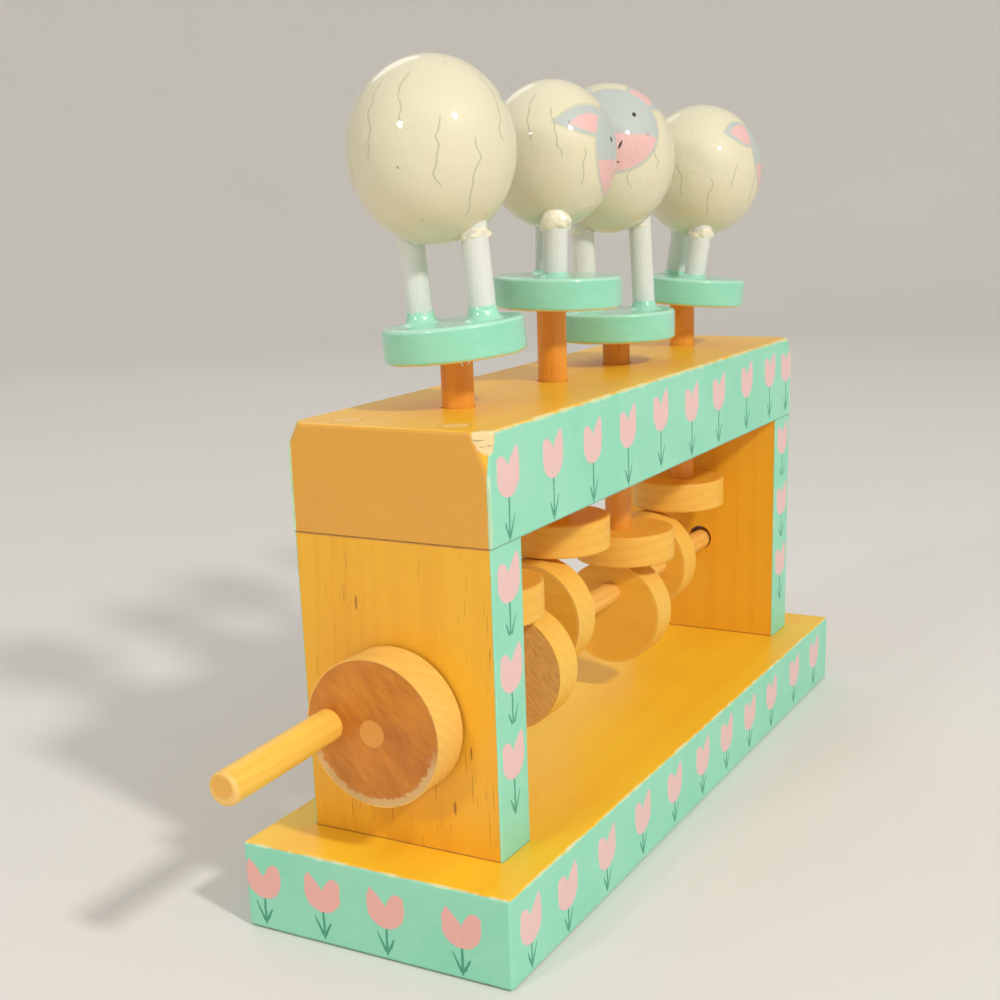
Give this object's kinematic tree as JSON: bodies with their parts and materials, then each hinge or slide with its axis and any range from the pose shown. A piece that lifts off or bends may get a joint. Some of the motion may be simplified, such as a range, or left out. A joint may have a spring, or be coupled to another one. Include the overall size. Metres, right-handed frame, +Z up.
{
  "type": "crank automaton",
  "caption": "Wooden crank toy: an eccentric camshaft in a painted frame lifts sheep on flat followers as the handle turns.",
  "frame": {"origin": "centre of the base board's underside", "axes": "+X along the frame from the crank to the far post, -Y the painted front, +Z up"},
  "size_m": [0.3295, 0.089, 0.2447],
  "materials": {
    "varnished_pine": "clear varnish, mint paint on the outer faces",
    "varnished_dowel": "clear varnish",
    "mint_painted_wood": "gloss paint",
    "pale_painted_wood": "satin paint",
    "cream_painted_wood": "gloss paint"
  },
  "bodies": {
    "frame": {"base_board": "varnished_pine", "base_dowels": "varnished_dowel", "crank_post": "varnished_pine", "far_post": "varnished_pine", "top_beam": "varnished_pine", "beam_dowels": "varnished_dowel"},
    "crank": {"camshaft": "varnished_dowel", "crank_disc": "varnished_dowel", "crank_handle": "varnished_dowel", "cam_1": "varnished_dowel", "cam_2": "varnished_dowel", "cam_3": "varnished_dowel", "cam_4": "varnished_dowel"},
    "cam_key_1": {"cam_key_1": "varnished_dowel"},
    "follower_1": {"follower_disc_1": "varnished_dowel", "lift_dowel_1": "varnished_dowel"},
    "sheep_1": {"platform_1": "mint_painted_wood", "sheep_1_left_leg": "pale_painted_wood", "sheep_1_right_leg": "pale_painted_wood", "sheep_1_body": "cream_painted_wood"},
    "cam_key_2": {"cam_key_2": "varnished_dowel"},
    "follower_2": {"follower_disc_2": "varnished_dowel", "lift_dowel_2": "varnished_dowel"},
    "sheep_2": {"platform_2": "mint_painted_wood", "sheep_2_left_leg": "pale_painted_wood", "sheep_2_right_leg": "pale_painted_wood", "sheep_2_body": "cream_painted_wood"},
    "cam_key_3": {"cam_key_3": "varnished_dowel"},
    "follower_3": {"follower_disc_3": "varnished_dowel", "lift_dowel_3": "varnished_dowel"},
    "sheep_3": {"platform_3": "mint_painted_wood", "sheep_3_left_leg": "pale_painted_wood", "sheep_3_right_leg": "pale_painted_wood", "sheep_3_body": "cream_painted_wood"},
    "cam_key_4": {"cam_key_4": "varnished_dowel"},
    "follower_4": {"follower_disc_4": "varnished_dowel", "lift_dowel_4": "varnished_dowel"},
    "sheep_4": {"platform_4": "mint_painted_wood", "sheep_4_left_leg": "pale_painted_wood", "sheep_4_right_leg": "pale_painted_wood", "sheep_4_body": "cream_painted_wood"}
  },
  "joints": [
    {"name": "crank_turn", "type": "hinge", "parent": "frame", "child": "crank", "pos_m": [0, 0, 0.0655], "axis": [1, 0, 0], "continuous": true},
    {"name": "cam_key_1_turn", "type": "hinge", "parent": "crank", "child": "cam_key_1", "pos_m": [-0.07, -0.00375, 0.0655], "axis": [1, 0, 0], "continuous": true},
    {"name": "follower_1_lift", "type": "hinge", "parent": "cam_key_1", "child": "follower_1", "pos_m": [-0.07, 0, 0.0655], "axis": [1, 0, 0], "continuous": true},
    {"name": "sheep_1_spin", "type": "hinge", "parent": "follower_1", "child": "sheep_1", "pos_m": [-0.085, 0, 0.1625], "axis": [0, 0, 1], "continuous": true},
    {"name": "cam_key_2_turn", "type": "hinge", "parent": "crank", "child": "cam_key_2", "pos_m": [-0.041, 0, 0.06925], "axis": [1, 0, 0], "continuous": true},
    {"name": "follower_2_lift", "type": "hinge", "parent": "cam_key_2", "child": "follower_2", "pos_m": [-0.041, 0, 0.073], "axis": [1, 0, 0], "continuous": true},
    {"name": "sheep_2_spin", "type": "hinge", "parent": "follower_2", "child": "sheep_2", "pos_m": [-0.024, 0, 0.1715], "axis": [0, 0, 1], "continuous": true},
    {"name": "cam_key_3_turn", "type": "hinge", "parent": "crank", "child": "cam_key_3", "pos_m": [0.024, 0, 0.06175], "axis": [1, 0, 0], "continuous": true},
    {"name": "follower_3_lift", "type": "hinge", "parent": "cam_key_3", "child": "follower_3", "pos_m": [0.024, 0, 0.058], "axis": [1, 0, 0], "continuous": true},
    {"name": "sheep_3_spin", "type": "hinge", "parent": "follower_3", "child": "sheep_3", "pos_m": [0.026, 0, 0.1565], "axis": [0, 0, 1], "continuous": true},
    {"name": "cam_key_4_turn", "type": "hinge", "parent": "crank", "child": "cam_key_4", "pos_m": [0.068, 0.00375, 0.0655], "axis": [1, 0, 0], "continuous": true},
    {"name": "follower_4_lift", "type": "hinge", "parent": "cam_key_4", "child": "follower_4", "pos_m": [0.068, 0, 0.0655], "axis": [1, 0, 0], "continuous": true},
    {"name": "sheep_4_spin", "type": "hinge", "parent": "follower_4", "child": "sheep_4", "pos_m": [0.088, 0, 0.164], "axis": [0, 0, 1], "continuous": true}
  ],
  "couplings": [
    {"joint": "cam_key_1_turn", "follows": "crank_turn", "ratio": -2},
    {"joint": "follower_1_lift", "follows": "crank_turn", "ratio": 1},
    {"joint": "cam_key_2_turn", "follows": "crank_turn", "ratio": -2},
    {"joint": "follower_2_lift", "follows": "crank_turn", "ratio": 1},
    {"joint": "cam_key_3_turn", "follows": "crank_turn", "ratio": -2},
    {"joint": "follower_3_lift", "follows": "crank_turn", "ratio": 1},
    {"joint": "cam_key_4_turn", "follows": "crank_turn", "ratio": -2},
    {"joint": "follower_4_lift", "follows": "crank_turn", "ratio": 1}
  ]
}
